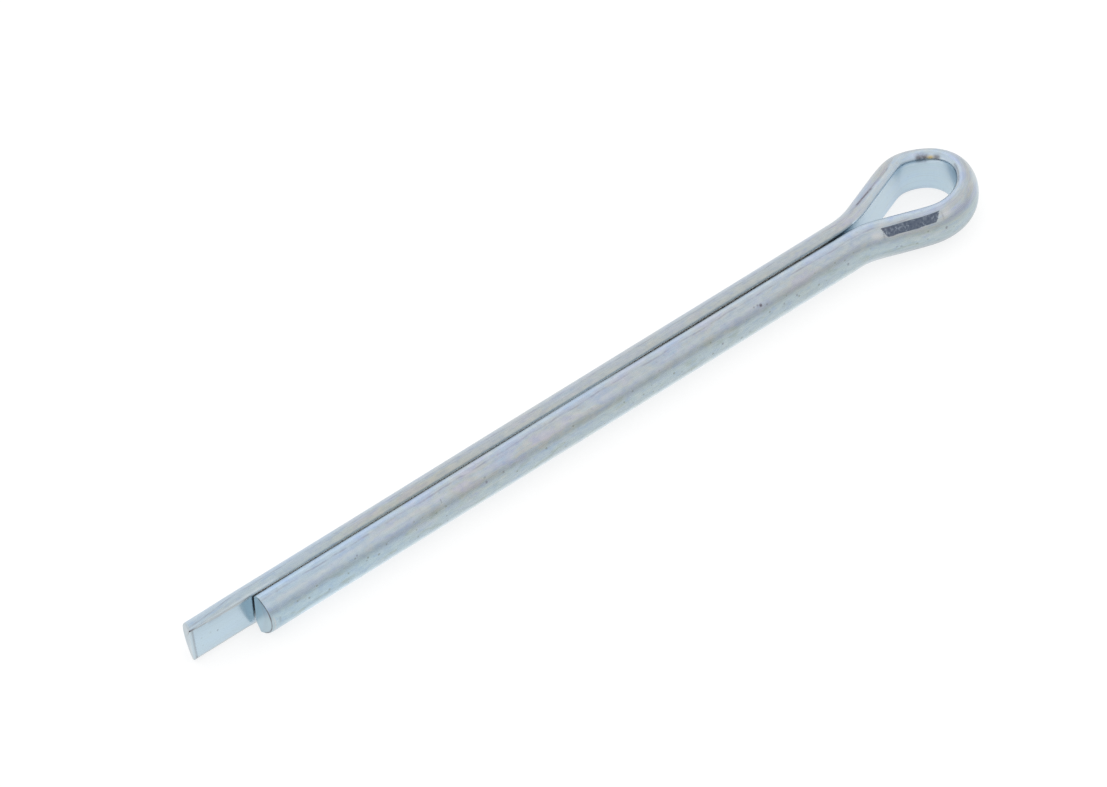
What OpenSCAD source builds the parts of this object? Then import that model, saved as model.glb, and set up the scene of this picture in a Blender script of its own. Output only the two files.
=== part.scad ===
// Cotter pin, also called a split pin.
// One length of half-round wire, bent back on itself: the two flats lie
// face to face and make a round shank, and the bend makes the eye.
// Millimetres. The pin lies flat, with its bend in the XY plane.
// The origin is on the shank's axis, where both legs start to spread into
// the eye. +X runs along the shank from the eye to the tips, the short leg
// is on the +Y side, and +Z is up.

/* [Shank] */
// Diameter of the round shank that the two legs make together
shank_d = 4.6; // [3.6:0.1:5.9]
// Straight length of the short leg, from the eye's shoulders to its end
short_leg_l = 67; // [30:0.5:110]
// How far the long leg reaches past the short one, measured on its flat
long_leg_extra = 7; // [2:0.1:12]
// Gap between the flats of the two legs
leg_gap = 0.2; // [0.1:0.05:0.4]
// Radius of the rolled edges along both sides of the flat
wire_edge_r = 0.5; // [0.2:0.05:0.6]

/* [Eye] */
// From the shoulders to the centre of the long leg's side of the crown
eye_reach = 9.8; // [8.5:0.05:16]
// How far that centre lies off the shank's axis, towards the long leg
eye_offset = 0.4; // [0:0.05:0.8]
// Inside radius of the crown on the long leg's side
crown_long_r = 2.55; // [1.8:0.05:3]
// Inside radius of the crown on the short leg's side
crown_short_r = 3.7; // [3:0.05:4.5]
// Direction from the eye's centre to the point where the two radii join
crown_join_a = 144; // [130:1:180]
// Radius of the long leg's shoulder bend, at the flat
shoulder_long_r = 9.7; // [6:0.1:11]
// Radius of the short leg's shoulder bend, at the flat
shoulder_short_r = 7.6; // [6:0.1:11]
// How much the wire's skin draws in where it is bent
bend_draw = 0.02; // [0.01:0.01:0.05]

/* [Cut ends] */
// Lean of both sheared ends, seen from the side
shear_a = 9; // [0:1:15]
// Slant of the long leg's mitred end, seen from above
mitre_a = 29; // [0:1:45]

/* [Hidden] */
$fn = 64;
wire_r = shank_d / 2;
// The tightest bend, the crown beside the long leg, draws in twice as far
tight_draw = 2 * bend_draw;
// Each bend runs on by this angle inside the straight wire that it meets
lap_a = 1;
// Centre of an edge's round, measured from the flat and from mid-height
edge_x = wire_edge_r;
edge_y = sqrt(pow(wire_r - wire_edge_r, 2) - pow(leg_gap / 2 + wire_edge_r, 2));
// The wire's round back spans this angle above and below mid-height
back_a = atan2(edge_y, leg_gap / 2 + edge_x);
// Centres of the crown's two arcs, tangent at crown_join_a
crown_long_c = [-eye_reach, -eye_offset];
crown_short_c = crown_long_c
    + (crown_long_r - crown_short_r) * [cos(crown_join_a), sin(crown_join_a)];
// Spare length that an end cut takes off
end_stock = 2 * shank_d;

// A point seen from the other leg's side
function mirrored(p) = [p.x, -p.y];

// From the centre of a crown arc to the centre of its own leg's shoulder
// bend, with that leg on the +Y side
function bend_span(crown_c, shoulder_r) =
    [-crown_c.x, leg_gap / 2 + shoulder_r - crown_c.y];

// Angle at which the flank between those two bends leaves the shank
function flank_a(crown_c, crown_r, shoulder_r) =
    let (span = bend_span(crown_c, shoulder_r))
    atan2(span.x, span.y) - acos((crown_r + shoulder_r) / norm(span));

// Length of that flank
function flank_l(crown_c, crown_r, shoulder_r) =
    let (span = bend_span(crown_c, shoulder_r))
    sqrt(pow(norm(span), 2) - pow(crown_r + shoulder_r, 2));

short_flank_a = flank_a(crown_short_c, crown_short_r, shoulder_short_r);
long_flank_a = flank_a(mirrored(crown_long_c), crown_long_r, shoulder_long_r);

// Section of the wire, with its skin drawn in by draw. The flat is on
// x = draw, and the wire bulges from it to +x.
module wire_section(draw = 0) {
    reach = 2 * shank_d * [cos(back_a), sin(back_a)];
    intersection() {
        translate([-leg_gap / 2, 0]) circle(r = wire_r - draw);
        polygon([
            [draw, -edge_y], [edge_x, -edge_y], [edge_x + reach.x, -edge_y - reach.y],
            [edge_x + reach.x, edge_y + reach.y], [edge_x, edge_y], [draw, edge_y]
        ]);
    }
    for (side = [-1, 1]) intersection() {
        translate([edge_x, side * edge_y]) circle(r = wire_edge_r - draw);
        polygon([
            [draw, side * edge_y], [edge_x, side * edge_y],
            [edge_x + reach.x, side * (edge_y + reach.y)],
            [draw, side * (edge_y + reach.y)]
        ]);
    }
}

// Straight wire along +X, with its flat on the XZ plane
module straight_wire(length) {
    rotate([90, 0, 90]) linear_extrude(length) wire_section();
}

// Wire bent about the Z axis with its flat inside, at radius r
module wire_bent_in(r, from, to, draw) {
    rotate_extrude(angle = to - from, start = from)
        translate([r, 0]) wire_section(draw);
}

// Wire bent about the Z axis with its flat outside, at radius r
module wire_bent_out(r, from, to, draw) {
    rotate_extrude(angle = to - from, start = from)
        translate([r, 0]) mirror([1, 0]) wire_section(draw);
}

// What the shear takes off beyond an end at x, slanted back by mitre
module end_cut(x, mitre) {
    translate([x, 0, 0]) rotate([0, shear_a, 0]) rotate(mitre)
        translate([0, -end_stock, -end_stock]) cube(2 * end_stock);
}

// One leg on the +Y side, with its shoulder bend and its flank
module limb(leg_l, mitre, crown_c, crown_r, shoulder_r) {
    a = flank_a(crown_c, crown_r, shoulder_r);
    translate([0, leg_gap / 2, 0]) difference() {
        straight_wire(leg_l + end_stock);
        end_cut(leg_l, mitre);
    }
    translate([0, leg_gap / 2 + shoulder_r, 0])
        wire_bent_out(shoulder_r, 270 - a - lap_a, 270 + lap_a, bend_draw);
    translate(crown_c + crown_r * [sin(a), cos(a)])
        rotate(-a) straight_wire(flank_l(crown_c, crown_r, shoulder_r));
}

// The eye's crown: a wide arc beside the short leg, and a tight one beside
// the long leg
module crown() {
    translate(crown_short_c) wire_bent_in(
        crown_short_r, 90 - short_flank_a - lap_a, crown_join_a, bend_draw);
    translate(crown_long_c) wire_bent_in(
        crown_long_r, crown_join_a - lap_a, 270 + long_flank_a + lap_a, tight_draw);
}

module cotter_pin() {
    color("lightsteelblue") {
        limb(short_leg_l, 0, crown_short_c, crown_short_r, shoulder_short_r);
        mirror([0, 1, 0]) limb(short_leg_l + long_leg_extra, mitre_a,
            mirrored(crown_long_c), crown_long_r, shoulder_long_r);
        crown();
    }
}

cotter_pin();
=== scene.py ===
"""A cotter pin bent from half-round wire, bright zinc plated, on a pale floor.

Lengths are in millimetres, as in the part's source, until a mesh is made.
The wire is one swept mesh: stations run along it from the short leg's end,
round the eye, to the long leg's end, and each holds one closed section.
"""

import math

import bpy
import numpy as np
from mathutils import Matrix, Vector


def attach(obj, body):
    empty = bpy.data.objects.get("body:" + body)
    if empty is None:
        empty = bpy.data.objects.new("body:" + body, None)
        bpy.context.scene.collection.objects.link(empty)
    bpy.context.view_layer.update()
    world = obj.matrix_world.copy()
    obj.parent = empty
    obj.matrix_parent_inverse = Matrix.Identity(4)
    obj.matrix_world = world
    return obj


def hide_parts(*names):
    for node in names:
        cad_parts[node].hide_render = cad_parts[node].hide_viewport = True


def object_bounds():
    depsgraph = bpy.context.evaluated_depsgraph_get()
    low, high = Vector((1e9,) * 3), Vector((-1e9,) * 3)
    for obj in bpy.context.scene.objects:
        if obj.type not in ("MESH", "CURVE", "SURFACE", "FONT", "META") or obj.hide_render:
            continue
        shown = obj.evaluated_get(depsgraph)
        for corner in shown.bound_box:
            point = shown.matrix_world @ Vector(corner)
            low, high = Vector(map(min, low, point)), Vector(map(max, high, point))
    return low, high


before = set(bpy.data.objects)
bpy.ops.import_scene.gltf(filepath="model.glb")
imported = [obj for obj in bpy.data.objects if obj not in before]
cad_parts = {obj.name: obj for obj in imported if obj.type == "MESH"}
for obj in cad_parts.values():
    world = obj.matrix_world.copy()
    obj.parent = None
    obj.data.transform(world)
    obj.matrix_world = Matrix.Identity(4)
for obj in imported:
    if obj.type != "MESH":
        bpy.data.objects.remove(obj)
cad_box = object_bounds()

MM = 0.001

# Sizes of the part, with the names that its source gives them.
shank_d = 4.6
short_leg_l = 67.0
long_leg_extra = 7.0
leg_gap = 0.2
wire_edge_r = 0.5
eye_reach = 9.8
eye_offset = 0.4
crown_long_r = 2.55
crown_short_r = 3.7
crown_join_a = math.radians(144)
shoulder_long_r = 9.7
shoulder_short_r = 7.6
shear_a = math.radians(9)

wire_r = shank_d / 2
wire_t = wire_r - leg_gap / 2  # from the flat to the middle of the round back
edge_y = math.sqrt((wire_r - wire_edge_r) ** 2 - (leg_gap / 2 + wire_edge_r) ** 2)
long_leg_l = short_leg_l + long_leg_extra


def smooth(low, high, x):
    """0 below low, 1 above high, and a smooth step between."""
    t = np.clip((np.asarray(x, float) - low) / (high - low), 0, 1)
    return t * t * (3 - 2 * t)


def bump(centre, half, x):
    """1 at centre, falling smoothly to 0 at half's distance on either side."""
    return 1 - smooth(0, half, np.abs(np.asarray(x, float) - centre))


# ---------------------------------------------------------------- wire's path

STEP = 0.05  # between points of the fine path
BEND_BLEND = 0.45  # how far a change of bend is spread along the wire


def flank_a(crown_c, crown_r, shoulder_r):
    """Angle at which a flank leaves the shank, as in the part's source."""
    across = leg_gap / 2 + shoulder_r - crown_c[1]
    span = math.hypot(crown_c[0], across)
    lean = math.atan2(-crown_c[0], across)
    return lean - math.acos((crown_r + shoulder_r) / span)


join_way = np.array([math.cos(crown_join_a), math.sin(crown_join_a)])
crown_long_c = np.array([-eye_reach, -eye_offset])
crown_short_c = crown_long_c + (crown_long_r - crown_short_r) * join_way
short_a = flank_a(crown_short_c, crown_short_r, shoulder_short_r)
long_a = flank_a((crown_long_c[0], -crown_long_c[1]), crown_long_r, shoulder_long_r)


def arc(centre, r, start, end):
    """Points along an arc, from the angle start to the angle end."""
    n = max(2, int(abs(end - start) * r / STEP))
    a = np.linspace(start, end, n)
    return np.stack([centre[0] + r * np.cos(a), centre[1] + r * np.sin(a)], 1)


def fine_path():
    """The flat's line, from the short leg's end to the long leg's, evenly spaced."""
    quarter = math.pi / 2
    side = leg_gap / 2
    shoulder_short_c = 0, side + shoulder_short_r
    shoulder_long_c = 0, -side - shoulder_long_r
    line = np.vstack(
        [
            [[short_leg_l, side]],
            arc(shoulder_short_c, shoulder_short_r, 3 * quarter, 3 * quarter - short_a),
            arc(crown_short_c, crown_short_r, quarter - short_a, crown_join_a),
            arc(crown_long_c, crown_long_r, crown_join_a, 3 * quarter + long_a),
            arc(shoulder_long_c, shoulder_long_r, quarter + long_a, quarter),
            [[long_leg_l, -side]],
        ]
    )
    run = np.concatenate([[0], np.cumsum(np.linalg.norm(np.diff(line, axis=0), axis=1))])
    keep = np.concatenate([[True], np.diff(run) > 1e-6])
    line, run = line[keep], run[keep]
    even = np.linspace(0, run[-1], int(run[-1] / STEP) + 1)
    return np.stack([np.interp(even, run, line[:, k]) for k in (0, 1)], 1), even


def blurred(line, spread):
    """line averaged along itself; its straight ends stay as they are."""
    reach = int(4 * spread / STEP)
    w = np.exp(-0.5 * (np.arange(-reach, reach + 1) * STEP / spread) ** 2)
    w /= w.sum()
    head = line[0] + (line[0] - line[1]) * np.arange(reach, 0, -1)[:, None]
    tail = line[-1] + (line[-1] - line[-2]) * np.arange(1, reach + 1)[:, None]
    long = np.vstack([head, line, tail])
    return np.stack([np.convolve(long[:, k], w, "valid") for k in (0, 1)], 1)


path, path_run = fine_path()
once = blurred(path, BEND_BLEND)
path = 2 * once - blurred(once, BEND_BLEND)  # so that the bends keep their radii
along = np.gradient(path, STEP, axis=0)
along /= np.linalg.norm(along, axis=1)[:, None]


def run_near(x, y):
    """The run of the path's point nearest to (x, y)."""
    return float(path_run[np.argmin(np.hypot(path[:, 0] - x, path[:, 1] - y))])


# From here on the run is 0 where the crown's two radii join, negative on the
# short leg's side and positive on the long leg's.
path_run = path_run - run_near(*(crown_short_c + crown_short_r * join_way))
RUN_START, RUN_END = path_run[0], path_run[-1]
SHORT, LONG = -1, 1

# The legs close up along the shank, most of all near its middle, and part a little
# towards the short leg's end.
CLOSE_UP, CLOSE_MORE, PART = 0.05, 0.045, 0.03
close = (
    CLOSE_UP * smooth(12, 36, path[:, 0])
    + CLOSE_MORE * bump(30, 9, path[:, 0])
    - PART * smooth(short_leg_l - 4.5, short_leg_l, path[:, 0])
)
path[:, 1] += np.sign(path_run) * close


def beside_eye(x):
    """1 where the slit runs off the shank's axis, next to the eye."""
    return smooth(-3, 2, x) * (1 - smooth(16, 40, x))


SLIT_OFF = 0.08  # how far it is off, towards the short leg
path[:, 1] += SLIT_OFF * beside_eye(path[:, 0])

# Where the crown is out of round: X, Y, how far it is pressed in, and over how much
# of the wire
OUT_OF_ROUND = ((-10.6, -2.9, 0.12, 1.3), (-12.3, -0.6, -0.06, 1.2))
for x, y, inward, spread in OUT_OF_ROUND:
    near = np.exp(-(((path_run - run_near(x, y)) / spread) ** 2))
    path -= inward * near[:, None] * np.stack([along[:, 1], -along[:, 0]], 1)


def at_run(at):
    """Points on the flat's line, and the directions in which the wire bulges."""
    p = np.stack([np.interp(at, path_run, path[:, k]) for k in (0, 1)], 1)
    t = np.stack([np.interp(at, path_run, along[:, k]) for k in (0, 1)], 1)
    t /= np.linalg.norm(t, axis=1)[:, None]
    return p, np.stack([t[:, 1], -t[:, 0]], 1)


def run_at_x(x, leg):
    """The run where a leg's side of the wire passes x."""
    pick = path_run * leg > 0
    order = np.argsort(path[pick, 0])
    return float(np.interp(x, path[pick, 0][order], path_run[pick][order]))


# -------------------------------------------------------------- wire's section

BACK_POINTS, EDGE_POINTS, FLAT_POINTS = 93, 16, 10
HALF_BACK = (BACK_POINTS + 1) // 2


def section(r_top, r_low):
    """Outline of the wire with these edge radii: out from the flat, and up.

    Also returns the angle of its normal in degrees: 0 on the middle of the
    round back, 90 on top, 180 on the flat, and negative underneath.
    """
    out, up, turn = [], [], []
    for r, sign in ((r_top, 1), (r_low, -1)):
        y = math.sqrt((wire_r - r) ** 2 - (leg_gap / 2 + r) ** 2)
        end = math.atan2(y, leg_gap / 2 + r)
        high = sign * min(1.0, (edge_y + wire_edge_r) / (y + r))  # no higher than usual
        a = np.linspace(0, end, HALF_BACK)
        e = np.linspace(end, math.pi, EDGE_POINTS + 1)[1:]
        f = y * (1 - np.arange(1, FLAT_POINTS // 2 + 1) / (FLAT_POINTS // 2 + 0.5))
        out.append(np.concatenate([wire_r * np.cos(a) - leg_gap / 2, r + r * np.cos(e), 0 * f]))
        up.append(high * np.concatenate([wire_r * np.sin(a), y + r * np.sin(e), f]))
        turn.append(np.degrees(np.concatenate([a, e, math.pi + 0 * f])))

    def closed(top, under):
        return np.concatenate([under[:HALF_BACK][:0:-1], top, under[HALF_BACK:][::-1]])

    return closed(*out), closed(*up), closed(turn[0], -turn[1])


sec_out, sec_up, sec_turn = section(wire_edge_r, wire_edge_r)
n_sec = len(sec_out)
around = np.concatenate([[0], np.cumsum(np.hypot(np.diff(sec_out), np.diff(sec_up)))])
normal_out = np.cos(np.radians(sec_turn))
normal_up = np.sin(np.radians(sec_turn))
opened_turn = np.where(np.arange(n_sec) > n_sec // 2, sec_turn % 360, sec_turn)

# Where the bending tool left a flat mark on the short leg's flank
facet_from, facet_to = run_at_x(-3.0, SHORT), run_at_x(-7.9, SHORT)

# Distance between stations along the wire: they lie close together round the eye as
# far as NEAR_EYE_X, and over the last stretch NEAR_END before each end.
SHANK_GAP, EYE_GAP, FACET_GAP, END_GAP = 0.7, 0.15, 0.08, 0.16
NEAR_EYE_X, NEAR_END = 3.0, 3.5
GRID_POINTS = 20001


def stations():
    """The run of each station."""
    grid = np.linspace(RUN_START, RUN_END, GRID_POINTS)
    gap = np.full(grid.shape, SHANK_GAP)
    gap[(grid > run_at_x(NEAR_EYE_X, SHORT)) & (grid < run_at_x(NEAR_EYE_X, LONG))] = EYE_GAP
    gap[(grid > facet_from - 0.5) & (grid < facet_to + 0.5)] = FACET_GAP
    gap[np.minimum(grid - RUN_START, RUN_END - grid) < NEAR_END] = END_GAP
    count = np.concatenate([[0], np.cumsum(np.diff(grid) / gap[1:])])
    return np.interp(np.linspace(0, count[-1], int(count[-1]) + 1), count, grid)


run = stations()
base, bulge = at_run(run)
n_run = len(run)

# ------------------------------------------------------------------ wire's form

# How much thinner the wire gets in the bend round the crown, as a share: on the
# short leg's side, on the long leg's, and once more where the bend is tightest
THIN_SHORT, THIN_LONG, THIN_TIGHT = 0.08, 0.05, 0.165
FULLER = 0.04  # how much thicker each leg is halfway along the shank


def thinned():
    """How much thinner the wire is than drawn, as a share, at each station."""
    short_from, long_to = run_at_x(-7.4, SHORT), run_at_x(-8.8, LONG)
    to_long = smooth(-1.0, 1.5, run)
    thin = (
        THIN_SHORT * smooth(short_from - 1.5, short_from + 2.0, run) * (1 - to_long)
        + THIN_LONG * to_long * (1 - smooth(long_to - 1.5, long_to + 1.5, run))
    )
    thin = thin + THIN_TIGHT * bump(run_near(-11.35, -2.45), 2.5, run)
    # Where the slit is off the axis or closes up, the legs take up the difference,
    # and the shank keeps its size.
    thin = thin - np.sign(run) * SLIT_OFF / wire_t * beside_eye(base[:, 0])
    fuller = np.interp(run, path_run, close) + FULLER * bump(31, 24, base[:, 0])
    return thin - fuller / wire_t


# Radii of the flat's edges: the upper one pressed at the crown, on the short leg's
# flank and at the long leg's end, and the lower one at the long leg's end
PRESSED_R, FLANK_R, SHARP_R, LOW_R = 0.85, 0.62, 0.15, 0.74


def edge_radii():
    """Radii of the flat's upper and lower edge at each station."""
    flank = smooth(run_at_x(11, SHORT), run_at_x(-2, SHORT), run) * (1 - smooth(-6, -2, run))
    top = (
        wire_edge_r
        + (PRESSED_R - wire_edge_r) * bump(run_near(-11.2, -2.6), 4.0, run)
        + (FLANK_R - wire_edge_r) * flank
        + (SHARP_R - wire_edge_r) * smooth(run_at_x(68.5, LONG), run_at_x(long_leg_l, LONG), run)
    )
    low = wire_edge_r + (LOW_R - wire_edge_r) * smooth(
        run_at_x(63, LONG), run_at_x(68, LONG), run
    )
    return top, low


HOLLOW = 0.10  # share by which the hollow is pressed in


def hollowed(out):
    """Beside the eye the short leg's back is a little hollow below."""
    hollow = smooth(run_at_x(1, SHORT), run_at_x(-3.5, SHORT), run)
    hollow = hollow * (1 - smooth(run_at_x(-7.5, SHORT), run_at_x(-11.5, SHORT), run))
    return out * (1 - HOLLOW * hollow[:, None] * (1 - smooth(-38, 4, sec_turn)))


FACET_SLANT = 0.45  # how far a slanted end of a facet runs along the wire
FACET_HALF_A = 12  # half of what a facet takes up of the section, in degrees
CLEAR = 0.2  # how far off the skin the plane is beyond the facet's ends
SKIN_DEEP = 0.002  # how deep a point must be pressed in to count as the facet's


def flatten(out, up, runs, angles, depths, ramp=0.12, slanted=True):
    """Presses a flat facet into the sections, between two runs.

    The facet's angle and depth go from their first value to their second. Its ends
    rise over the length ramp, and slant in if asked. Also returns how much each
    point is part of the facet, from 0 to 1.
    """
    t = np.clip((run - runs[0]) / (runs[1] - runs[0]), 0, 1)
    angle = np.radians(angles[0] + (angles[1] - angles[0]) * t)
    depth = depths[0] + (depths[1] - depths[0]) * t
    c, s = np.cos(angle)[:, None], np.sin(angle)[:, None]
    across = (np.degrees(angle)[:, None] + FACET_HALF_A - sec_turn) / (2 * FACET_HALF_A)
    slant = FACET_SLANT * across if slanted else 0.0
    inside = smooth(runs[0] - ramp, runs[0], run[:, None] - slant)
    inside = inside * (1 - smooth(runs[1], runs[1] + ramp, run[:, None] + slant))
    depth = depth[:, None] * inside - (1 - inside) * CLEAR
    reach = out * c + up * s
    over = reach - reach.max(1, keepdims=True) + depth
    over = np.where(over > 0, over, 0)
    return out - over * c, up - over * s, smooth(0.0, SKIN_DEEP, over)


IN_BOX = 0.9998  # keeps the mesh just inside the solid's height

thin = thinned()
sections = [section(top, low) for top, low in zip(*edge_radii())]
out = hollowed(np.array([o for o, _, _ in sections]) * (1 - thin[:, None]))
up = np.array([u for _, u, _ in sections]) * IN_BOX
# The bending tool's mark
out, up, facet_mask = flatten(
    out, up, runs=(facet_from, facet_to), angles=(44.5, 46.5), depths=(0.047, 0.037)
)
# The lower edge of the short leg's flat, where the shear pressed it in
out, up, _ = flatten(
    out,
    up,
    runs=(RUN_START, RUN_START + 0.4),
    angles=(-151, -151),
    depths=(0.28, 0.28),
    ramp=1.6,
    slanted=False,
)

# ------------------------------------------------------------------ cut ends

ROLL_STEPS = 5
CAP_RINGS = 9
LEAN_REACH = 8  # how much of a leg leans into the plane of its cut
ROOM_STATIONS = 12  # how many stations make room for the rolled edge
ROLL_SHARE, ROLL_MORE = 0.3, 0.015  # a roll's depth: a share of its length, and more
RING_SPACING = 0.8  # under 1, the face's rings lie closer together near its edge

# Both cuts, trimmed a little to the photograph: where each leaves the flat, its
# lean and its mitre
short_cut = short_leg_l - 0.04, math.radians(5.6), 0.0
long_cut = long_leg_l - 0.20, shear_a, math.radians(21)


def end_x(cut, o, u):
    """Where the shear leaves the wire's end, at o out from the flat and u up."""
    leg_l, lean, mitre = cut
    return leg_l - o * math.tan(mitre) / math.cos(lean) + u * math.tan(lean)


def roll_r(wide, rest, towards, spread=75):
    """Radius of the rolled edge round a cut end: wide where the shear went in.

    towards is the angle, round the section, of the side that it went in from,
    and the wide part fades out over spread degrees on both sides of it.
    """
    away = np.cos(np.radians(sec_turn - towards))
    fades_out, full = math.cos(math.radians(spread)), 0.98
    return rest + (wide - rest) * smooth(fades_out, full, away)


def place(p, b, o, u):
    """Points in the part's frame, from offsets out and up at one or more stations."""
    x = p[..., 0:1] + b[..., 0:1] * o
    y = p[..., 1:2] + b[..., 1:2] * o
    return np.stack([x, y, u + 0 * x], -1)


def lean_end(points, cut, leg):
    """Leans the last stations of a leg into the plane of its cut."""
    full_l = base[0 if leg == SHORT else -1, 0]
    w = smooth(full_l - LEAN_REACH, full_l, points[..., 0]) * (run * leg > 0)[:, None]
    points[..., 0] += w * (end_x(cut, out, up) - full_l)


def cap(cut, leg, o, u, r, dome_h=0.0):
    """Rings that roll a cut end's edge over by r and close its face.

    The face's middle stands out of the cut's plane by dome_h. Returns the rings,
    outermost first, and the centre point. The first ring takes the place of the
    end's last station.
    """
    y0 = -leg * (leg_gap / 2 - close[0])
    rings = []
    deep = ROLL_SHARE * r + ROLL_MORE
    for k in range(ROLL_STEPS + 1):
        a = 0.5 * math.pi * k / ROLL_STEPS
        off = deep * (1 - math.cos(a))
        oo, uu = o - normal_out * off, u - normal_up * off
        x = end_x(cut, oo, uu) - r * (1 - math.sin(a))
        rings.append(np.stack([x, y0 - leg * oo, uu], 1))
    face_o, face_u = o - normal_out * deep, u - normal_up * deep
    co, cu = face_o.mean(), face_u.mean()
    for k in range(1, CAP_RINGS):
        f = (1 - k / CAP_RINGS) ** RING_SPACING
        oo, uu = co + (face_o - co) * f, cu + (face_u - cu) * f
        x = end_x(cut, oo, uu) + dome_h * (1 - f * f)
        rings.append(np.stack([x, y0 - leg * oo, uu], 1))
    return rings, np.array([end_x(cut, co, cu) + dome_h, y0 - leg * co, cu])


body = place(base, bulge, out, up)
lean_end(body, short_cut, SHORT)
lean_end(body, long_cut, LONG)

# The short leg's cut is rolled over its back, most of all just below the middle, and
# its face is a little hollow.
short_roll = roll_r(wide=0.36, rest=0.05, towards=-25)
short_rings, short_centre = cap(short_cut, SHORT, out[0], up[0], short_roll, dome_h=-0.05)
# The long leg's cut is rolled most along its flat, less over its back, and hardly at
# all at its edges.
long_roll = roll_r(wide=0.36, rest=0.08, towards=180, spread=35)
long_roll = long_roll + 0.14 * smooth(-100, -60, -np.abs(sec_turn))
long_rings, long_centre = cap(long_cut, LONG, out[-1], up[-1], long_roll)

# The last station becomes the first ring of the rolled edge, and those before it
# make room.
for i in range(1, ROOM_STATIONS):
    w = (1 - i / ROOM_STATIONS) ** 2
    body[i] += (short_rings[0] - body[0]) * w
    body[-1 - i] += (long_rings[0] - body[-1]) * w
body[0], body[-1] = short_rings[0], long_rings[0]

# Rows of the mesh: the short end's rings, the stations, the long end's rings
rows = short_rings[:0:-1] + list(body) + long_rings[1:]
n_rows = len(rows)
n_short, n_long = len(short_rings) - 1, len(long_rings) - 1

# ------------------------------------------------------------- marks on the skin

row_run = np.concatenate([np.full(n_short, run[0]), run, np.full(n_long, run[-1])])[:, None]
row_turn = sec_turn[None, :]
row_x = np.array([row[:, 0].mean() for row in rows])[:, None]
row_mm = around[None, :]
on_cap = np.zeros((n_rows, n_sec))
on_cap[:n_short], on_cap[n_rows - n_long :] = 1, 1


def turn_mm(turn):
    """How far round the section, in mm, each point is from the angle turn."""
    return row_mm - np.interp(turn, opened_turn, around)


def spot(at, turn, length, width):
    """A soft round mark that fades over length along the wire and width round it."""
    return np.exp(-(((row_run - at) / length) ** 2) - (turn_mm(turn) / width) ** 2)


def stripe(run_from, run_to, turn_from, turn_to, width):
    """A soft mark along the wire between two runs, drifting from one angle to another."""
    if run_from > run_to:
        run_from, run_to, turn_from, turn_to = run_to, run_from, turn_to, turn_from
    t = np.clip((row_run - run_from) / (run_to - run_from), 0, 1)
    ends = smooth(run_from - width, run_from + width, row_run)
    ends = ends * (1 - smooth(run_to - width, run_to + width, row_run))
    return ends * np.exp(-((turn_mm(turn_from + (turn_to - turn_from) * t) / width) ** 2))


def rim(leg, k_from, k_to, turn_from, turn_to):
    """A mark on some of the rings that roll a cut end's edge over."""
    soft = 6
    mark = np.zeros((n_rows, n_sec))
    inside = smooth(turn_from - soft, turn_from + soft, row_turn)
    inside = inside * (1 - smooth(turn_to - soft, turn_to + soft, row_turn))
    for k in range(k_from, k_to + 1):
        mark[n_short - k if leg == SHORT else n_rows - n_long - 1 + k] = inside[0]
    return mark


def stain_and_dark_reflection_marks():
    """Dark stains and worn lines, and a painted dark reflection on the crown's edge over the
    eye.
    """
    return (
        # dark line on the long leg's flank
        0.70 * stripe(run_near(-5.2, -1.9), run_near(-3.0, -1.0), 67, 60, 0.12)
        + 0.35 * stripe(run_near(-8.0, -2.7), run_near(-2.0, -0.6), 71, 58, 0.09)
        # on the crown's edge, over the eye; the first two are a painted dark reflection
        + 0.90 * stripe(run_near(-10.75, -2.68), run_near(-11.54, -2.09), 150, 152, 0.19)
        + 0.80 * stripe(run_near(-11.80, -1.70), run_near(-12.05, -1.25), 146, 150, 0.15)
        + 0.50 * stripe(run_near(-12.4, 0.1), run_near(-11.3, 2.1), 128, 116, 0.08)
        # round the flattened mark
        + 0.45 * stripe(facet_from - 0.10, facet_from + 0.9, 58, 58, 0.05)
        + 0.45 * spot(facet_from + 0.05, 44, 0.07, 0.45)
        + 0.40 * spot(facet_to + 0.20, 48, 0.05, 0.35)
        # edges of the short leg's cut
        + 0.85 * rim(SHORT, 4, 5, -60, 88)
        + 0.50 * rim(SHORT, 3, 6, 15, 75)
        + 0.40 * spot(run_at_x(66.25, SHORT), 4, 0.11, 0.30)
        # edges of the long leg's cut
        + 0.60 * rim(LONG, 0, 1, 165, 181)
        + 0.60 * rim(LONG, 0, 1, -181, -165)
        + 0.90 * rim(LONG, 0, 3, 92, 150)
        + 0.90 * stripe(run_at_x(73.5, LONG), RUN_END + 1, 128, 128, 0.20)
        + 0.50 * stripe(run_at_x(72.2, LONG), run_at_x(73.4, LONG), 165, 165, 0.10)
        + 0.35 * stripe(run_at_x(70.6, LONG), run_at_x(72.0, LONG), 172, 176, 0.06)
    )


def pale_marks():
    """Where the plating is dull and pale."""
    return (
        # before and behind the flattened mark
        0.9 * stripe(facet_from - 1.2, facet_from - 0.12, 46, 46, 0.34)
        + 0.9 * stripe(facet_to + 0.22, facet_to + 0.75, 50, 50, 0.36)
        # the short leg's rolled edge, and a line on its back
        + 0.8 * rim(SHORT, 0, 4, -75, 20)
        + 0.35 * stripe(run_at_x(65.8, SHORT), run_at_x(47.0, SHORT), 47, 54, 0.20)
    )


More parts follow.
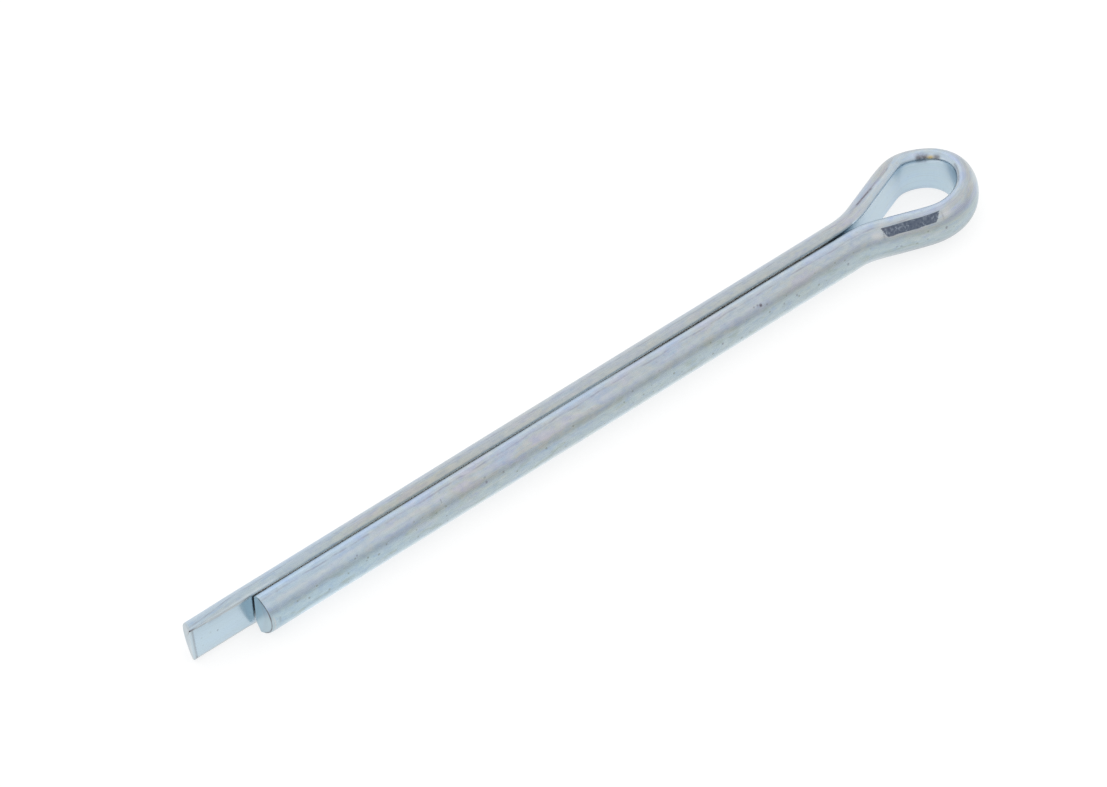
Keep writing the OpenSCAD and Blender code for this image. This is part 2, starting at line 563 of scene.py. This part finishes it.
def painted_highlight_marks():
    """Painted highlights along edges, lightening the dark lines beside them."""
    return (
        # the eye's inner edge
        0.20 * stripe(run_near(-1.0, -0.4), run_near(-9.0, -3.0), 148, 148, 0.13)
        + 0.95 * stripe(run_near(-1.0, -0.4), run_near(-9.0, -3.0), 157, 157, 0.11)
        + 0.55 * stripe(run_near(-9.0, -3.0), run_near(-12.1, 0.3), 166, 158, 0.15)
        + 0.60 * stripe(run_near(-1.0, 0.4), run_near(-10.5, 2.8), 134, 134, 0.16)
        # both legs' edges near their tips
        + 0.30 * stripe(run_at_x(64.5, LONG), run_at_x(73.2, LONG), 142, 142, 0.16)
        + 0.50 * stripe(run_at_x(66.9, SHORT), run_at_x(61.0, SHORT), 150, 150, 0.20)
    )


def marks():
    """Each kind of mark, as one strength from 0 to 1 for every point of the rows."""
    # The bending tool's flat facet carries a painted dark reflection.
    slate = np.zeros((n_rows, n_sec))
    slate[n_short : n_short + n_run] = facet_mask
    between = smooth(0, 3, row_x) * (1 - smooth(short_leg_l - 0.5, short_leg_l, row_x))
    between = between * (1 - on_cap)
    return {
        "slate": slate,
        # dark stains, and a painted dark reflection on the crown's edge
        "stain_and_dark_reflection": stain_and_dark_reflection_marks(),
        # painted yellow reflection on the crown's inner upper edge
        "yellow_reflection": spot(run_near(-11.68, -1.93), 152, 0.24, 0.10),
        "pale": pale_marks(),
        # painted highlights along edges
        "bright": painted_highlight_marks(),
        # the slit's walls between the legs: painted light where the gap is shaded, and rougher
        "slit": between * smooth(156, 171, np.abs(row_turn)),
    }


# The deepest pits of the short leg's back: X, angle, radius and strength
PITS = (
    (-8.15, 16, 0.19, 0.60),
    (-4.4, 3, 0.16, 0.40),
    (-4.0, 5, 0.13, 0.35),
    (1.6, 14, 0.19, 0.45),
    (7.5, 16, 0.17, 0.45),
    (9.0, 14, 0.15, 0.45),
    (11.3, 41, 0.22, 0.95),
    (11.6, 44, 0.16, 0.45),
    (12.0, 45, 0.14, 0.40),
    (16.1, 10, 0.19, 0.50),
    (40.9, 26, 0.16, 0.45),
    (42.8, 27, 0.18, 0.50),
    (47.57, 47, 0.09, 0.45),
    (47.57, 44, 0.09, 0.45),
    (47.57, 41, 0.09, 0.45),
    (57.1, 39, 0.14, 0.40),
)
PIT_CORE = 0.3  # radius of a pit's core, as a share of the pit's
# The one pit on the long leg's bare flat: its place, in metres, and the rest as above
FLAT_PIT = Vector((71.0, -leg_gap / 2, 0.33)) * MM
FLAT_PIT_R, FLAT_PIT_CORE_R, FLAT_PIT_STRENGTH = 0.16, 0.05, 0.40


def back_point(x, turn):
    """Point, in metres, of the short leg's round back at x and an angle."""
    here = np.array([run_at_x(x, SHORT)])
    p, b = at_run(here)
    full = 1 - np.interp(here[0], run, thin)
    angle = math.radians(turn)
    o = (wire_r * math.cos(angle) - leg_gap / 2) * full
    return Vector(place(p, b, np.array([o]), wire_r * math.sin(angle))[0, 0]) * MM


# --------------------------------------------------------------------- mesh


def wire_faces():
    """Quads between the rows, and a fan of triangles on each cut face."""
    i, j = np.meshgrid(np.arange(n_rows - 1), np.arange(n_sec), indexing="ij")
    k = (j + 1) % n_sec
    here, ahead = i * n_sec, (i + 1) * n_sec
    faces = np.stack([here + j, ahead + j, ahead + k, here + k], -1).reshape(-1, 4).tolist()
    first, last = n_rows * n_sec, n_rows * n_sec + 1
    last_row = (n_rows - 1) * n_sec
    for a in range(n_sec):
        b = (a + 1) % n_sec
        faces.append([first, a, b])
        faces.append([last, last_row + b, last_row + a])
    return faces


def add_point_values(mesh, name, values, at_centres):
    """Stores a value for each point of the rows, and for both cut faces' centres."""
    data = mesh.attributes.new(name, "FLOAT", "POINT")
    both = np.concatenate([values.ravel(), at_centres])
    data.data.foreach_set("value", both.astype(np.float32))


def add_corner_values(mesh, name, values):
    """Stores values that go round the section, for each corner of each face.

    values holds one more than the section's points: the first again, gone round.
    """
    low, high = values[:-1], values[1:]
    sides = np.tile(np.stack([low, low, high, high], 1).ravel(), n_rows - 1)
    caps = np.stack([low, low, high, low, high, low], 1).ravel()
    data = mesh.attributes.new(name, "FLOAT", "CORNER")
    data.data.foreach_set("value", np.concatenate([sides, caps]).astype(np.float32))


def wire_mesh():
    """The whole pin as one closed mesh, with the values that its material reads."""
    mesh = bpy.data.meshes.new("wire")
    verts = np.concatenate(rows + [short_centre[None], long_centre[None]])
    mesh.from_pydata((verts * MM).tolist(), [], wire_faces())
    mesh.update()
    # mm along the wire, whether it is a cut end, the marks, mm round the section and
    # the normal's angle. The last two start again where the section closes, so each
    # face's corners hold them.
    add_point_values(mesh, "run", row_run + 0 * row_mm, [run[0], run[-1]])
    add_point_values(mesh, "cut", on_cap, [1, 1])
    for name, values in marks().items():
        add_point_values(mesh, name, values, [0, 0])
    closing = math.hypot(sec_out[0] - sec_out[-1], sec_up[0] - sec_up[-1])
    add_corner_values(mesh, "around", np.append(around, around[-1] + closing))
    add_corner_values(mesh, "turn", np.append(opened_turn, opened_turn[0] + 360))
    mesh.polygons.foreach_set("use_smooth", [True] * len(mesh.polygons))
    return mesh


pin = bpy.data.objects.new("zinc_wire", wire_mesh())
bpy.context.scene.collection.objects.link(pin)

# ----------------------------------------------------------------- materials


class Nodes:
    """Adds nodes to a tree and links them in one call each."""

    def __init__(self, tree):
        self.tree = tree

    def add(self, kind, sockets=None, **settings):
        """A new node; sockets gives its inputs, by name or number."""
        node = self.tree.nodes.new(kind)
        for key, value in settings.items():
            setattr(node, key, value)
        for key, value in (sockets or {}).items():
            self.put(node.inputs[key], value)
        return node

    def put(self, socket, value):
        """Links a socket or a node's first output, or sets a plain value."""
        if isinstance(value, bpy.types.NodeSocket):
            self.tree.links.new(value, socket)
        elif isinstance(value, bpy.types.Node):
            self.tree.links.new(value.outputs[0], socket)
        else:
            socket.default_value = value

    def maths(self, operation, a, b=0.0, c=0.0, clamp=False):
        node = self.add(
            "ShaderNodeMath", {0: a, 1: b, 2: c}, operation=operation, use_clamp=clamp
        )
        return node.outputs[0]

    def times(self, first, *rest):
        """The product of all these."""
        for value in rest:
            first = self.maths("MULTIPLY", first, value)
        return first

    def away(self, a, b):
        """How far a is from b."""
        return self.maths("ABSOLUTE", self.maths("SUBTRACT", a, b))

    def less(self, value):
        """1 minus the value."""
        return self.maths("SUBTRACT", 1.0, value)

    def value_of(self, name):
        return self.add("ShaderNodeAttribute", attribute_name=name).outputs["Fac"]

    def span(self, x, low, high, to_low=0.0, to_high=1.0, kind="SMOOTHSTEP"):
        """Goes from to_low to to_high as x goes from low to high."""
        sockets = {0: x, 1: low, 2: high, 3: to_low, 4: to_high}
        return self.add("ShaderNodeMapRange", sockets, interpolation_type=kind).outputs[0]

    def mix(self, factor, a, b, blend="MIX"):
        node = self.add("ShaderNodeMix", data_type="RGBA", blend_type=blend)
        for key, value in ((0, factor), (6, a), (7, b)):
            self.put(node.inputs[key], value)
        return node.outputs[2]

    def noise(self, vector, scale=1.0, detail=2.0, rough=0.5):
        sockets = {"Vector": vector, "Scale": scale, "Detail": detail, "Roughness": rough}
        return self.add("ShaderNodeTexNoise", sockets).outputs["Fac"]

    def from_point(self, where, point):
        """Distance of where from a point."""
        node = self.add("ShaderNodeVectorMath", {0: where, 1: point}, operation="DISTANCE")
        return node.outputs["Value"]

    def xyz(self, vector):
        return self.add("ShaderNodeSeparateXYZ", {0: vector}).outputs

    def ramp(self, x, stops):
        """Colour by x, from stops that each give a position and a colour."""
        node = self.add("ShaderNodeValToRGB", {0: x})
        ramp = node.color_ramp
        while len(ramp.elements) > 1:
            ramp.elements.remove(ramp.elements[-1])
        ramp.elements[0].position = stops[0][0]
        ramp.elements[0].color = (*stops[0][1], 1)
        for position, colour in stops[1:]:
            ramp.elements.new(position).color = (*colour, 1)
        return node.outputs[0]


def new_material(name):
    material = bpy.data.materials.new(name)
    material.use_nodes = True
    material.node_tree.nodes.clear()
    return material, Nodes(material.node_tree)


class Skin:
    """What the layers of the plating read, as sockets.

    where and x are in metres, run and around in millimetres, turn in degrees.
    """

    def __init__(self, n):
        self.n = n
        self.where = n.add("ShaderNodeTexCoord").outputs["Object"]
        self.x = n.xyz(self.where)[0]
        self.run, self.around, self.turn, self.cut, self.slate, self.slit = (
            n.value_of(name) for name in ("run", "around", "turn", "cut", "slate", "slit")
        )
        # 0 on the middle of the back, 0.5 on top and underneath, 1 on the flat
        turns = n.maths("DIVIDE", n.maths("ABSOLUTE", self.turn), 180.0)
        self.half_turn = n.maths("PINGPONG", turns, 1.0)
        self.on_long = n.span(self.run, 9.0, 18.0)
        self.tip = n.times(
            n.span(self.x, 0.044, 0.062), n.span(self.half_turn, 0.90, 0.75), n.less(self.cut)
        )
        self.lines = n.noise(self.along_wire(0.10, 14.0), detail=3.0, rough=0.55)

    def along_wire(self, along_scale, around_scale, offset=0.0):
        """Coordinates that follow the wire, in mm times a scale each way."""
        n = self.n
        sockets = {
            0: n.maths("MULTIPLY_ADD", self.run, along_scale, offset),
            1: n.times(self.around, around_scale),
        }
        return n.add("ShaderNodeCombineXYZ", sockets).outputs[0]


# Tints of the clear blue plating by the skin's angle, from 0 on the back to 1 on
# the flat
SHORT_TINTS = (
    (0.00, (0.460, 0.550, 0.600)),
    (0.12, (0.440, 0.525, 0.565)),
    (0.20, (0.438, 0.496, 0.548)),
    (0.27, (0.462, 0.520, 0.563)),
    (0.32, (0.422, 0.486, 0.545)),
    (0.37, (0.445, 0.506, 0.568)),
    (0.44, (0.470, 0.553, 0.640)),
    (0.60, (0.465, 0.560, 0.660)),
    (0.80, (0.460, 0.560, 0.650)),
    (1.00, (0.480, 0.600, 0.680)),
)
LONG_TINTS = (
    (0.00, (0.450, 0.545, 0.600)),
    (0.24, (0.470, 0.545, 0.620)),
    (0.34, (0.445, 0.510, 0.570)),
    (0.45, (0.412, 0.458, 0.490)),
    (0.70, (0.430, 0.470, 0.485)),
    (0.88, (0.460, 0.500, 0.520)),
    (1.00, (0.480, 0.600, 0.680)),
)
# What the noises multiply the plating's colour by
MOTTLE_TINTS = (
    (0.36, (0.89, 0.93, 0.99)),
    (0.45, (0.98, 0.98, 0.98)),
    (0.54, (1.02, 1.03, 1.00)),
    (0.64, (1.10, 1.06, 1.02)),
)
FILM_TINTS = (
    (0.34, (0.88, 0.96, 1.10)),
    (0.42, (1.00, 0.95, 1.06)),
    (0.49, (1.00, 1.00, 1.00)),
    (0.56, (1.08, 0.99, 0.90)),
    (0.63, (1.06, 0.94, 1.00)),
)
# Painted dark reflection on the bending tool's flat facet, varied by grit
FACET_REFLECTION_TINTS = (
    (0.38, (0.085, 0.105, 0.150)),
    (0.55, (0.125, 0.150, 0.195)),
    (0.68, (0.26, 0.30, 0.36)),
)
TIP_TINT = (0.97, 1.05, 1.12, 1)
OLIVE_TINT = (1.00, 0.96, 0.90, 1)
LINE_DARK, LINE_PALE = (0.34, 0.37, 0.43, 1), (0.62, 0.68, 0.76, 1)
SEAM_COLOUR = (0.22, 0.20, 0.27, 1)
PIT_COLOUR, DEEP_PIT_COLOUR = (0.24, 0.26, 0.22, 1), (0.15, 0.13, 0.16, 1)
BLOOM_COLOUR = (0.36, 0.42, 0.37, 1)
PALE_COLOUR = (0.60, 0.60, 0.60, 1)
# Painted highlight on edges
PAINTED_HIGHLIGHT_COLOUR = (0.84, 0.91, 0.97, 1)
# Painted light on the slit's walls, where the gap between the legs is shaded
SLIT_PAINTED_LIGHT_COLOUR = (0.92, 0.92, 0.91, 1)
SHORT_CUT_COLOUR, LONG_CUT_COLOUR = (0.42, 0.57, 0.64, 1), (0.52, 0.60, 0.64, 1)
# Dark stains, and the painted dark reflection on the crown's edge
STAIN_AND_DARK_REFLECTION_COLOUR = (0.13, 0.115, 0.13, 1)
# Painted yellow reflection on the crown's inner upper edge
YELLOW_REFLECTION_COLOUR = (0.62, 0.46, 0.16, 1)
SHEARED_ROUGH, FACET_ROUGH = (0.36, 0.36, 0.36, 1), (0.22, 0.22, 0.22, 1)
BUMP_H = 0.00004  # metres that the bump stands for


def plating(n, skin):
    """The plating's own colour, by leg, angle and place."""
    short_tint = n.ramp(skin.half_turn, SHORT_TINTS)
    long_tint = n.ramp(skin.half_turn, LONG_TINTS)
    colour = n.mix(skin.on_long, short_tint, long_tint)
    # bluer towards both tips, except on the flats
    colour = n.mix(skin.tip, colour, TIP_TINT, "MULTIPLY")
    # a little olive on the long leg between its middle and its tip, except on its back
    stretch = n.times(n.span(skin.x, 0.038, 0.046), n.span(skin.x, 0.062, 0.054))
    olive = n.times(stretch, n.span(skin.half_turn, 0.36, 0.45), skin.on_long)
    return n.mix(olive, colour, OLIVE_TINT, "MULTIPLY")


def mottle(n, skin, colour):
    """Fine mottling of the back and the rolled edges."""
    blotches = n.noise(skin.along_wire(1.1, 2.4, 25.0), detail=4.0, rough=0.65)
    mottled = n.mix(1.0, colour, n.ramp(blotches, MOTTLE_TINTS), "MULTIPLY")
    off_flat = n.times(n.span(skin.half_turn, 0.95, 0.80), n.less(skin.cut))
    return n.mix(off_flat, colour, mottled)


def film(n, skin, colour):
    """Thin oil-like colours of the passivation, in patches drawn along the wire."""
    patches = n.noise(skin.along_wire(0.22, 0.75), detail=4.0, rough=0.62)
    filmed = n.mix(1.0, colour, n.ramp(patches, FILM_TINTS), "MULTIPLY")
    strong = n.noise(skin.along_wire(0.045, 0.10, 40.0), detail=1.0)
    on_top = n.span(n.away(skin.turn, 75), 75, 40)
    amount = n.times(
        n.span(strong, 0.35, 0.65, 0.35, 1.0),
        n.maths("MULTIPLY_ADD", on_top, 0.75, 0.25),
        n.maths("MULTIPLY_ADD", skin.tip, -0.6, 1.0),
    )
    return n.mix(amount, colour, filmed)


def draw_lines(n, skin, colour):
    """Draw lines, and the broken dark line beside the upper edge."""
    colour = n.mix(n.span(skin.lines, 0.55, 0.75, 0.0, 0.30), colour, LINE_DARK)
    colour = n.mix(n.span(skin.lines, 0.45, 0.25, 0.0, 0.22), colour, LINE_PALE)
    wander = n.noise(skin.along_wire(0.35, 0.0))
    seam_turn = n.maths("MULTIPLY_ADD", wander, 10.0, 59.5)
    broken = n.noise(skin.along_wire(0.7, 0.6, 9.0), detail=3.0, rough=0.6)
    seam = n.times(
        n.span(n.away(skin.turn, seam_turn), 2.6, 0.5),
        n.span(broken, 0.38, 0.68, 0.15, 1.0),
        n.span(n.maths("ABSOLUTE", skin.run), 4.0, 8.0),
        0.45,
    )
    return n.mix(seam, colour, SEAM_COLOUR)


def small_pits(n, skin):
    """Small dull hollows in the plating, deepest along the middle of the back.

    About two cells in five hold one.
    """
    cells = n.add(
        "ShaderNodeTexVoronoi",
        {"Vector": skin.along_wire(0.9, 1.1), "Scale": 1.0, "Randomness": 1.0},
        voronoi_dimensions="2D",
    )
    chance = n.add("ShaderNodeSeparateColor", {0: cells.outputs["Color"]}).outputs[0]
    pit_r = n.span(chance, 0.45, 1.0, 0.02, 0.13, "LINEAR")
    return n.times(
        n.span(n.maths("SUBTRACT", cells.outputs["Distance"], pit_r), 0.02, -0.06),
        n.span(chance, 0.55, 0.60),
        n.span(n.away(skin.turn, 8), 34, 24, 0.25, 1.0),
    )


def deep_pits(n, skin):
    """The deepest pits, where the photograph shows them, each with a core."""
    pits = [(back_point(x, turn), r, PIT_CORE * r, strength) for x, turn, r, strength in PITS]
    pits.append((FLAT_PIT, FLAT_PIT_R, FLAT_PIT_CORE_R, FLAT_PIT_STRENGTH))
    deep = 0.0
    for point, r, core_r, strength in pits:
        off = n.from_point(skin.where, point)
        deep = n.maths("MAXIMUM", deep, n.span(off, r * MM, core_r * MM, 0.0, strength))
    return n.times(deep, n.span(n.noise(skin.where, 6000.0), 0.35, 0.55, 0.6, 1.0))


def bloom(n, skin, colour):
    """A faint green bloom along the middle of the back."""
    patches = n.noise(skin.along_wire(0.45, 1.3, 70.0), detail=3.0, rough=0.6)
    middle = n.span(n.away(skin.turn, 4), 38, 22)
    return n.mix(n.times(n.span(patches, 0.52, 0.68), middle, 0.50), colour, BLOOM_COLOUR)


def tool_marks(n, skin, colour):
    """What bending, shearing and staining left, and painted light: highlights on edges, a light
    slit, and dark and yellow reflections, all from the marks that the mesh holds.
    """
    grit = n.noise(skin.where, 4500.0, 3.0, 0.7)
    colour = n.mix(n.times(n.value_of("pale"), 0.8), colour, PALE_COLOUR)
    # painted highlights along edges
    colour = n.mix(n.value_of("bright"), colour, PAINTED_HIGHLIGHT_COLOUR)
    # painted light on the slit's walls
    colour = n.mix(skin.slit, colour, SLIT_PAINTED_LIGHT_COLOUR)
    cut_tint = n.mix(n.span(skin.run, -1.0, 1.0), SHORT_CUT_COLOUR, LONG_CUT_COLOUR)
    colour = n.mix(n.times(skin.cut, 0.6), colour, cut_tint)
    # painted dark reflection on the flat facet
    colour = n.mix(skin.slate, colour, n.ramp(grit, FACET_REFLECTION_TINTS))
    gritty = n.span(grit, 0.30, 0.60, 0.55, 1.0)
    # dark stains, and a painted dark reflection on the crown's edge
    stain_and_dark_reflection = n.maths("MULTIPLY", n.value_of("stain_and_dark_reflection"), gritty, clamp=True)
    colour = n.mix(stain_and_dark_reflection, colour, STAIN_AND_DARK_REFLECTION_COLOUR)
    # painted yellow reflection on the crown's edge
    return n.mix(n.value_of("yellow_reflection"), colour, YELLOW_REFLECTION_COLOUR)


def roughness(n, skin, flat):
    """Satin, and smoother on the legs' flats, away from the bends of the eye."""
    bent = n.span(n.maths("ABSOLUTE", skin.run), 19.0, 15.0)
    rough_flat = n.maths("MULTIPLY_ADD", bent, 0.12, 0.20)
    rough = n.mix(flat, n.span(skin.lines, 0.3, 0.7, 0.24, 0.32, "LINEAR"), rough_flat)
    rough = n.mix(n.maths("MAXIMUM", skin.slit, skin.cut), rough, SHEARED_ROUGH)
    return n.mix(skin.slate, rough, FACET_ROUGH)


def relief(n, skin, flat, pit):
    """Draw lines, grain and pits as bump."""
    grain = n.noise(skin.where, 1500.0, 3.0, 0.6)
    height = n.maths("MULTIPLY_ADD", skin.lines, 0.6, n.times(grain, 0.35))
    height = n.times(height, n.less(n.times(flat, 0.8)))
    height = n.maths("SUBTRACT", height, n.times(pit, 1.2))
    return n.add("ShaderNodeBump", {"Strength": 0.20, "Distance": BUMP_H, "Height": height})


def zinc():
    """Bright zinc plate, layer by layer."""
    material, n = new_material("zinc_plate")
    skin = Skin(n)
    flat = n.times(n.span(skin.half_turn, 0.90, 0.99), n.less(skin.slit))
    pit = small_pits(n, skin)
    colour = plating(n, skin)
    for layer in (mottle, film, draw_lines):
        colour = layer(n, skin, colour)
    colour = n.mix(n.times(pit, 0.60), colour, PIT_COLOUR)
    colour = n.mix(deep_pits(n, skin), colour, DEEP_PIT_COLOUR)
    for layer in (bloom, tool_marks):
        colour = layer(n, skin, colour)
    sockets = {
        "Base Color": colour,
        "Metallic": 1.0,
        "Roughness": roughness(n, skin, flat),
        "Normal": relief(n, skin, flat, pit),
    }
    shader = n.add("ShaderNodeBsdfPrincipled", sockets)
    n.add("ShaderNodeOutputMaterial", {"Surface": shader})
    return material


pin.data.materials.append(zinc())
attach(pin, "root")
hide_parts("cotter_pin")

# --------------------------------------------------------- floor, light, camera

# Lengths are in metres from here on, where no name says otherwise.
FLOOR_SIZE = 8.0
UNDER_PIN = 0.00001  # how far the floor lies below the pin
PIN_MIDDLE = Vector((0.03, 0, 0))


def floor_material():
    """White to the eye and in reflections, with the pin's soft shadow kept."""
    material, n = new_material("floor")
    rays = n.add("ShaderNodeLightPath").outputs
    x, y, _ = n.xyz(n.add("ShaderNodeTexCoord").outputs["Object"])
    # What the pin mirrors: a bright strip right under the shank, and all round it a
    # glow that falls off in front.
    to_eye = n.span(x, -0.003, 0.002, 0.18, 0.42)
    to_tips = n.span(x, 0.062, 0.066, 0.42, 0.14)
    under_shank = n.span(n.maths("ABSOLUTE", y), 0.0018, 0.0032, 1.0, 0.0)
    strip = n.times(under_shank, n.maths("MINIMUM", to_eye, to_tips))
    glow = n.maths("ADD", strip, n.span(y, 0.004, 0.060, 0.70, 0.48))
    mirrored = n.maths("ADD", rays["Is Glossy Ray"], rays["Is Transmission Ray"], clamp=True)
    seen = n.maths("MULTIPLY_ADD", rays["Is Camera Ray"], 0.75, n.times(mirrored, glow))
    matt = n.add("ShaderNodeBsdfDiffuse", {"Color": (0.30, 0.30, 0.30, 1)})
    light = n.add("ShaderNodeEmission", {"Color": (1, 1, 1, 1), "Strength": seen})
    both = n.add("ShaderNodeAddShader", {0: matt, 1: light})
    n.add("ShaderNodeOutputMaterial", {"Surface": both})
    return material


def make_floor():
    """A wide square floor that the pin lies on."""
    mesh = bpy.data.meshes.new("floor")
    h = FLOOR_SIZE / 2
    z = cad_box[0][2] - UNDER_PIN
    mesh.from_pydata([(-h, -h, z), (h, -h, z), (h, h, z), (-h, h, z)], [], [(0, 1, 2, 3)])
    floor = bpy.data.objects.new("floor", mesh)
    bpy.context.scene.collection.objects.link(floor)
    mesh.materials.append(floor_material())


def studio():
    """A white tent: even light, a little dimmer low in front."""
    world = bpy.data.worlds.new("studio")
    bpy.context.scene.world = world
    world.use_nodes = True
    world.node_tree.nodes.clear()
    n = Nodes(world.node_tree)
    _, y, z = n.xyz(n.add("ShaderNodeTexCoord").outputs["Generated"])
    tent = n.span(z, -0.1, 0.9, 0.97, 1.06, "LINEAR")
    low_front = n.times(n.span(y, 0.0, 0.6), n.span(z, 0.05, 0.55, 1.0, 0.0), 0.30)
    level = n.maths("SUBTRACT", tent, low_front)
    to_camera = n.add("ShaderNodeLightPath").outputs["Is Camera Ray"]
    level = n.mix(to_camera, level, (1, 1, 1, 1))
    shader = n.add("ShaderNodeBackground", {"Color": level, "Strength": 1.0})
    n.add("ShaderNodeOutputWorld", {"Surface": shader})


def softbox(name, towards, distance, size, level):
    """A square lamp whose face is as bright as level, seen from the pin."""
    data = bpy.data.lights.new(name, "AREA")
    data.shape = "SQUARE"
    data.size = size
    data.energy = level * math.pi * size * size
    lamp = bpy.data.objects.new(name, data)
    bpy.context.scene.collection.objects.link(lamp)
    d = Vector(towards).normalized()
    lamp.location = d * distance + PIN_MIDDLE
    lamp.rotation_euler = d.to_track_quat("Z", "Y").to_euler()
    lamp.visible_camera = False


# The camera, as fitted to the photograph: its angles, how far off it stands, the
# photograph's size in pixels and its scale, and the pixel AIM_PX at which AIM, a point
# on the shank's axis, shows
AZIMUTH, ELEVATION, ROLL = -2.3124335 + math.pi, 0.7813813, 0.0202300
DISTANCE = 1.533
PHOTO_W, PHOTO_H = 1107, 787
PX_PER_MM = 54.20877 / shank_d
AIM = Vector((31.74, 0, 0)) * MM
AIM_PX = 567.88, 417.29
SENSOR_W = 36  # mm


def make_camera():
    """A long lens at the photograph's angle."""
    level = math.cos(ELEVATION)
    back = Vector(
        (level * math.cos(AZIMUTH), level * math.sin(AZIMUTH), math.sin(ELEVATION))
    )
    right = Vector((-math.sin(AZIMUTH), math.cos(AZIMUTH), 0))
    upward = back.cross(right)
    c, s = math.cos(ROLL), math.sin(ROLL)
    right, upward = right * c + upward * s, upward * c - right * s
    data = bpy.data.cameras.new("camera")
    data.sensor_width = SENSOR_W
    data.lens = SENSOR_W * PX_PER_MM / MM * DISTANCE / PHOTO_W
    data.clip_start, data.clip_end = 0.01, 20
    camera = bpy.data.objects.new("camera", data)
    bpy.context.scene.collection.objects.link(camera)
    off_x = (AIM_PX[0] - PHOTO_W / 2) / PX_PER_MM * MM
    off_y = (AIM_PX[1] - PHOTO_H / 2) / PX_PER_MM * MM
    aim = AIM - right * off_x + upward * off_y
    facing = Matrix((right, upward, back)).transposed()
    camera.matrix_world = Matrix.Translation(aim + back * DISTANCE) @ facing.to_4x4()
    bpy.context.scene.camera = camera


make_floor()
studio()
softbox("overhead_light", towards=(-0.35, -0.55, 0.80), distance=1.2, size=0.7, level=0.10)
make_camera()
bpy.context.scene.view_settings.view_transform = "Standard"
